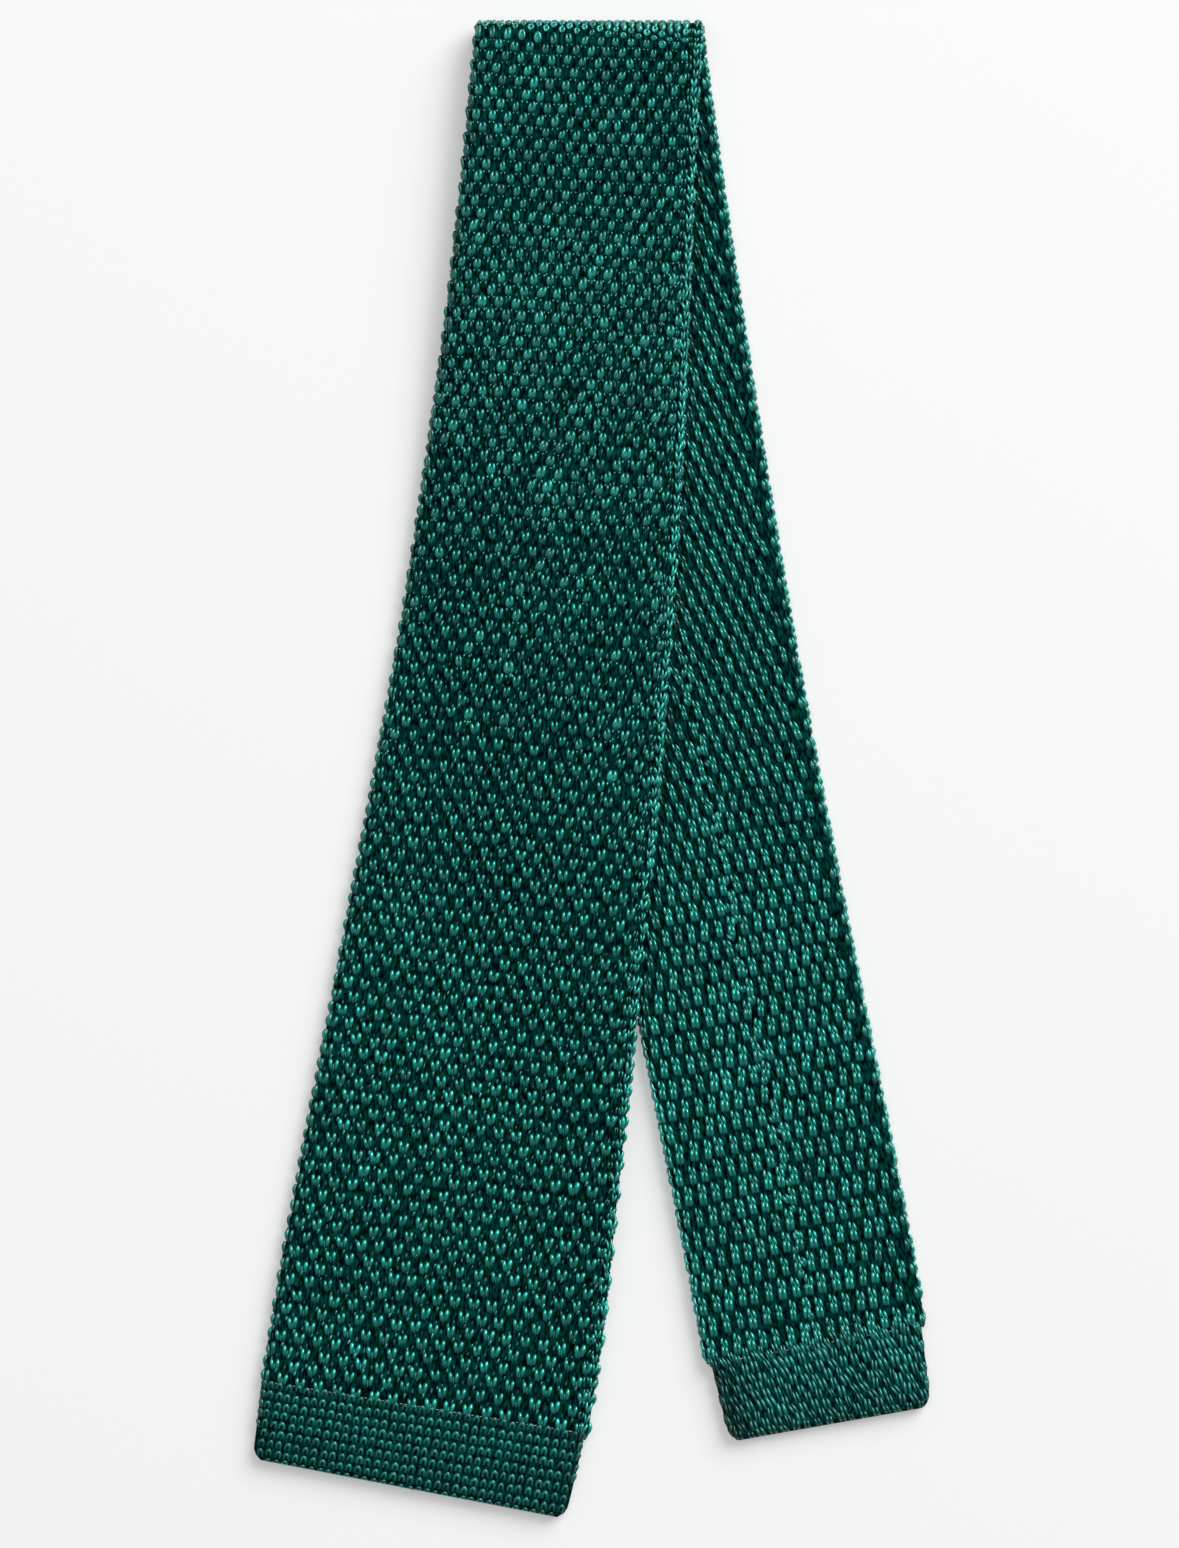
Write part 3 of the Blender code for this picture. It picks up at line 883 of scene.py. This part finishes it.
def wide_blade_knitting(silk, tuck_silk):
    """The wide blade's raised stitches, front and back, with the front's run over the fold."""
    # Painted light: the ears' strokes painted lighter at their upper ends and darker below, their body
    # painted darker
    left, right = lit(EAR_LEFT, 1.40, 0.90), lit(EAR_RIGHT, 1.40, 0.90)
    body = lit(EAR_BODY, 0.80, 0.70)
    ears = stitch((left, ROUND_SIDES), (right, ROUND_SIDES), (body, PLAIN_SIDES))
    uneven_ears = stitch(
        (shifted(left, 0.14, -0.14, 0.92), ROUND_SIDES),
        (shifted(right, -0.06, 0.16, 1.10), ROUND_SIDES),
        (body, PLAIN_SIDES),
    )
    # Painted light on the lobes likewise, their pad painted darker
    left, right = lit(LOBE_LEFT, 1.40, 0.65), lit(LOBE_RIGHT, 1.45, 0.65)
    lobe_base = (
        (lit(LOBE_PAD, 0.54, 0.48), ROUND_SIDES),
        (shifted(DOT, -0.44, -0.12), PLAIN_SIDES),
        (shifted(DOT, 0.46, -0.08), PLAIN_SIDES),
    )
    lobes = stitch((left, ROUND_SIDES), (right, ROUND_SIDES), *lobe_base)
    uneven_lobes = stitch(
        (shifted(left, 0.06, -0.14, 0.94), ROUND_SIDES),
        (shifted(right, -0.02, 0.12, 1.06), ROUND_SIDES),
        *lobe_base,
    )
    rings = stitch((RING_LEFT, ROUND_SIDES), (RING_RIGHT, ROUND_SIDES), (PAD, ROUND_SIDES))
    knobs = stitch((KNOB, 2 * PLAIN_SIDES))
    flecks = stitch((FLECK, PLAIN_SIDES), (LOW_FLECK, PLAIN_SIDES))
    plain_ears = stitch(*PLAIN_EAR)
    chain = stitch((CHAIN_LEFT, ROUND_SIDES), (CHAIN_RIGHT, ROUND_SIDES))
    small_loops = stitch(*SMALL_LOOP)
    top = outer_skin()
    bend = math.pi / 2 * (FOLD_RADIUS + HALF_DEPTH)
    start = WIDE_TUBE_END + TUBE_MARGIN - (bend - HALF_FOLD)
    front = tube_sites(WIDE_GAUGE, start, bend, EAR_COLUMN, clear_of_chain, wide_painted_light, seed=11)
    rng = np.random.default_rng(13)
    luck = rng.uniform(0.0, 1.0, len(front))
    knobbed = np.abs(front[:, RUN]) < KNOB_REACH
    ringed = ~knobbed & (level_at(RING_SHARE, front[:, RUN]) > luck)
    lobed = ~knobbed & ~ringed & (level_at(LOBE_SHARE, front[:, RUN]) > luck)
    plain = ~ringed & ~lobed & ~knobbed
    front[plain, SLIM] *= level_at(EAR_SLIMNESS, front[plain, RUN])
    lobe_sites = front[lobed]
    lobe_sites[:, SIZE] *= LOBE_SIZE * rng.normal(1.0, 0.03, len(lobe_sites))
    lobe_sites[:, TURN] += rng.normal(0.0, 0.10, len(lobe_sites))
    lobe_sites[:, SHADE] *= rng.normal(1.05, 0.15, len(lobe_sites))
    uneven_lobed = rng.uniform(0.0, 1.0, len(lobe_sites)) < 0.5
    ring_sites = front[ringed]
    ring_sites[:, SIZE] *= RING_SIZE
    knob_sites = front[knobbed]
    knob_sites[:, SIZE] *= KNOB_SIZE
    knob_sites[:, SHADE] *= 0.75
    uneven = plain & (rng.uniform(0.0, 1.0, len(front)) < 0.45)
    beside = fleck_sites(front[plain | (lobed & (front[:, RUN] < FLECKED_LOBES))], seed=16)
    halfway = ease((beside[:, RUN] / MM + 190.0) / 50.0)
    beside[:, SIZE] *= 1.0 + 0.15 * halfway
    beside[:, SHADE] *= 1.0 + 0.30 * halfway
    edge = edge_sites(EDGE_GAUGE, start, 5.0 * MM, pitch=0.78, out=CHAIN_GIRTH, wobble=2.2, seed=14)
    inside_edge = CHAIN_GIRTH - 1.3 * MM
    inner_edge = edge_sites(EDGE_GAUGE, start, -2.0 * MM, pitch=0.85, out=inside_edge, wobble=3.0, seed=17)
    inner_edge[:, SIZE] = 0.75
    inner_edge[:, SHADE] *= 0.65
    under = tube_skin(-1, 1.0, -1.0)
    start = WIDE_TUBE_END + TUBE_MARGIN
    back = tube_sites(WIDE_GAUGE, start, -HALF_FOLD, EAR_COLUMN, clear_of_seam, even_light, seed=12)
    seam = seam_sites(start, -HALF_FOLD, pitch=2.0 * MM, size=0.8, seed=15)
    return [
        knit("wide_blade_stitches", ears, front[plain & ~uneven], top, silk),
        knit("wide_blade_uneven_stitches", uneven_ears, front[uneven], top, silk),
        knit("wide_blade_tuck_yarn", flecks, beside, top, tuck_silk),
        knit("wide_blade_lobe_stitches", lobes, lobe_sites[~uneven_lobed], top, silk),
        knit("wide_blade_uneven_lobes", uneven_lobes, lobe_sites[uneven_lobed], top, silk),
        knit("wide_blade_edge_loops", small_loops, inner_edge, top, silk),
        knit("fold_ring_stitches", rings, ring_sites, top, silk),
        knit("fold_edge_stitches", knobs, knob_sites, top, silk),
        knit("wide_blade_edge_chain", chain, edge, top, silk),
        knit("wide_blade_back_stitches", plain_ears, back, under, silk),
        knit("wide_blade_back_seam", plain_ears, seam, under, silk),
    ]


def room_beside_wide_blade(sites):
    """How far right of the wide blade's edge the narrow blade's sites lie."""
    t = np.linspace(WIDE_TUBE_END, -HALF_FOLD, 300)
    edge = laid(t, width_at(t) / 2, 0.0)
    points = on_tube(sites[:, RUN], sites[:, GIRTH], 0.0, -1)
    return points[:, 0] - np.interp(points[:, 1], edge[:, 1], edge[:, 0])


def painted_shade_beside_blade(room, rise):
    """How light a stitch is painted: painted shade beside the wide blade's edge, lighter by rise clear of
    it.
    """
    return 0.35 + rise * ease((room + 0.3 * MM) / (3.0 * MM))


def narrow_blade_knitting(silk):
    """The narrow blade's stitches: its back lies uppermost, its front underneath."""
    strokes = (BACK_UPPER_LEFT, BACK_UPPER_RIGHT, BACK_LOWER_LEFT, BACK_LOWER_RIGHT)
    # Painted light: the loops' strokes painted lighter at their upper ends and darker below
    loops = stitch(*((lit(rows, 1.20, 0.70), ROUND_SIDES) for rows in strokes), (BACK_BODY, PLAIN_SIDES))
    plain_loops = stitch((BACK_LOWER_LEFT[::2], PLAIN_SIDES), (BACK_LOWER_RIGHT[::2], PLAIN_SIDES))
    plain_ears = stitch(*PLAIN_EAR)
    slim = stitch(*SLIM_LOOP)
    bumps = stitch(*SMALL_LOOP, (PAD, ROUND_SIDES))
    top = tube_skin(-1, -1.0, 1.0)
    half_flat = NARROW_WIDTH / 2 - HALF_DEPTH
    end = NARROW_TUBE_END - 0.4 * MM
    back = tube_sites(NARROW_GAUGE, HALF_FOLD, end, LOOP_COLUMN, clear_of_both, even_light, seed=21)
    corner = (back[:, RUN] > end - 2.0 * MM) & (np.abs(back[:, GIRTH]) > half_flat - 0.6 * MM)
    back = back[~corner]
    upper = 1.0 - ease((back[:, RUN] / MM - 130.0) / 60.0)
    back[:, SLIM] *= 1.0 - 0.18 * upper
    back[:, TURN] += 0.20 * upper
    back[:, SHADE] *= 1.12 * (1.0 - 0.12 * upper)
    room = room_beside_wide_blade(back)
    # Painted shade on the stitches beside the wide blade's edge
    back[:, SHADE] *= painted_shade_beside_blade(room, 0.75)
    covered = room < -4.0 * MM
    parts = np.array_split(back[~covered], 2)
    front_end = NARROW_TUBE_END - 1.2 * MM
    front = tube_sites(WIDE_GAUGE, 2 * HALF_FOLD, front_end, EAR_COLUMN, flat_only, even_light, seed=22)
    edge = edge_sites(NARROW_GAUGE, HALF_FOLD, end, pitch=1.1, out=0.9 * MM, wobble=1.6, seed=24)
    edge[:, RUN] += end - 0.6 * MM - edge[-1, RUN]
    edge[:, SIZE] = 1.15
    edge[:, SHADE] *= 0.75
    rng = np.random.default_rng(26)
    last_stitches = 30
    across = np.linspace(-1.0, 1.0, last_stitches) * (half_flat + 0.8 * MM)
    last_run = end + np.where(np.arange(last_stitches) % 2 == 0, 0.5 * MM, -0.4 * MM)
    closing = site_rows(rng, last_run, across, size=0.75, wobble=1.3, shade=0.62)
    closing[:, TURN] += 0.15
    seam = seam_sites(HALF_FOLD, end, pitch=2.6 * MM, size=0.90, seed=25)
    # Painted shade on the seam beside the wide blade's edge
    seam[:, SHADE] *= painted_shade_beside_blade(room_beside_wide_blade(seam), 0.65)
    return [
        knit("narrow_blade_stitches_upper", loops, parts[0], top, silk),
        knit("narrow_blade_stitches_lower", loops, parts[1], top, silk),
        knit("narrow_blade_covered_stitches", plain_loops, back[covered], top, silk),
        knit("narrow_blade_edge_bumps", bumps, edge, top, silk),
        knit("narrow_blade_closing_row", slim, closing, top, silk),
        knit("narrow_blade_seam", bumps, seam, top, silk),
        knit("narrow_blade_front_stitches", plain_ears, front, tube_skin(1, -1.0, -1.0), silk),
    ]


def wide_band_shading(down, across):
    """Painted shade on the wide band's stitches: dimmer at its rim, at its sides and towards its foot."""
    towards_foot = 1.0 - 0.35 * down**2
    at_sides = 1.0 - 0.35 * ease((np.abs(across) - 0.9) / 0.1)
    at_rim = 0.7 + 0.3 * ease(down / 0.15)
    return towards_foot * at_sides * at_rim


def narrow_band_shading(down, across):
    """Painted shade on the narrow band's stitches: dim on the left and at its foot, and all of them a
    little darker.
    """
    at_left = 0.35 + 0.65 * ease((across + 1.0) / 0.30)
    towards_foot = 1.0 - 0.45 * down**2
    return 0.94 * at_left * towards_foot


def band_knitting(silk):
    """Rounded plain loops on the wide end, slim paired ones on the narrow end."""
    scales = stitch((SCALE_LOOP, ROUND_SIDES), (SCALE_BODY, PLAIN_SIDES))
    plain_scales = stitch((SCALE_LOOP, PLAIN_SIDES))
    slim = stitch(*SLIM_LOOP)
    wide_top = band_sites(WIDE_BAND, wide_band_shading, seed=41)
    wide_under = band_sites(WIDE_BAND, wide_band_shading, seed=42)
    narrow_top = band_sites(NARROW_BAND, narrow_band_shading, seed=43)
    narrow_under = band_sites(NARROW_BAND, narrow_band_shading, seed=44)
    wide_back = band_skin(WIDE_BAND, -1, -1.0)
    narrow_front = band_skin(NARROW_BAND, 1, -1.0)
    return [
        knit("wide_end_stitches", scales, wide_top, band_skin(WIDE_BAND, 1, 1.0), silk),
        knit("wide_end_under_stitches", plain_scales, wide_under, wide_back, silk),
        knit("narrow_end_stitches", slim, narrow_top, band_skin(NARROW_BAND, -1, 1.0), silk),
        knit("narrow_end_under_stitches", slim, narrow_under, narrow_front, silk),
    ]


def floor_and_light():
    """A pale floor that glows a little, painted light that lifts the shadows cast on it, a broad soft light
    and a gentle fill.
    """
    bpy.ops.object.select_all(action="DESELECT")
    bpy.ops.mesh.primitive_plane_add(size=6.0, location=(0.0, 0.0, 0.0))
    floor = bpy.context.active_object
    floor.name = "floor"
    paper = bpy.data.materials.new("pale_paper_painted_glow")
    paper.use_nodes = True
    shader = paper.node_tree.nodes["Principled BSDF"]
    shader.inputs["Base Color"].default_value = (0.59, 0.59, 0.59, 1.0)
    shader.inputs["Roughness"].default_value = 0.9
    shader.inputs["Specular IOR Level"].default_value = 0.1
    # Painted light: the floor's own glow lifts the shadows cast on it
    shader.inputs["Emission Color"].default_value = (1.0, 1.0, 1.0, 1.0)
    shader.inputs["Emission Strength"].default_value = 0.33
    floor.data.materials.append(paper)
    world = bpy.data.worlds.new("soft_room")
    bpy.context.scene.world = world
    world.use_nodes = True
    world.node_tree.nodes["Background"].inputs["Color"].default_value = (1.0, 1.0, 1.0, 1.0)
    world.node_tree.nodes["Background"].inputs["Strength"].default_value = 0.22
    for name, place, size, power in (
        ("key", (1.70, 2.00, 2.00), 2.4, 132.0),
        ("top", (-0.3, 0.3, 1.6), 1.0, 5.0),
    ):
        light = bpy.data.lights.new(name, "AREA")
        light.shape = "SQUARE"
        light.size = size
        light.energy = power
        lamp = bpy.data.objects.new(name, light)
        lamp.location = place
        bpy.context.collection.objects.link(lamp)
        x, y, z = place
        lamp.rotation_euler = (math.atan2(math.hypot(x, y), z), 0.0, math.atan2(-x, y) + math.pi)


def camera():
    """Straight above the tie, framed as the photograph frames it."""
    distance = 1.6
    frame_height = 0.3019
    middle_below_fold = 0.1469
    sensor = 36.0
    data = bpy.data.cameras.new("above")
    data.sensor_fit = "AUTO"
    data.sensor_width = sensor
    data.lens = sensor * distance / frame_height
    data.clip_end = 20.0
    above = bpy.data.objects.new("above", data)
    above.location = (FOLD_X, CAD_BOX[1][1] - middle_below_fold, distance)
    bpy.context.collection.objects.link(above)
    bpy.context.scene.camera = above


camera()
floor_and_light()
bpy.context.scene.view_settings.view_transform = "Standard"
silk = yarn_material("green_silk", (0.018, 0.368, 0.312), roughness=0.40, metallic=0.75, gloss=0.7)
dull_silk = yarn_material("tuck_silk", (0.035, 0.280, 0.245), roughness=0.45, metallic=0.6, gloss=0.2)
band_silk = yarn_material("band_silk", (0.008, 0.230, 0.200), roughness=0.42, metallic=0.72, gloss=0.5)
inner = painted_shade_ground_material()
ground = tube_ground(inner)
knitting = wide_blade_knitting(silk, dull_silk) + narrow_blade_knitting(silk)
bands = [
    band_ground("wide_band_ground", WIDE_BAND, inner, "wide_end_band"),
    band_ground("narrow_band_ground", NARROW_BAND, inner, "narrow_end_band"),
]
band_stitches = band_knitting(band_silk)
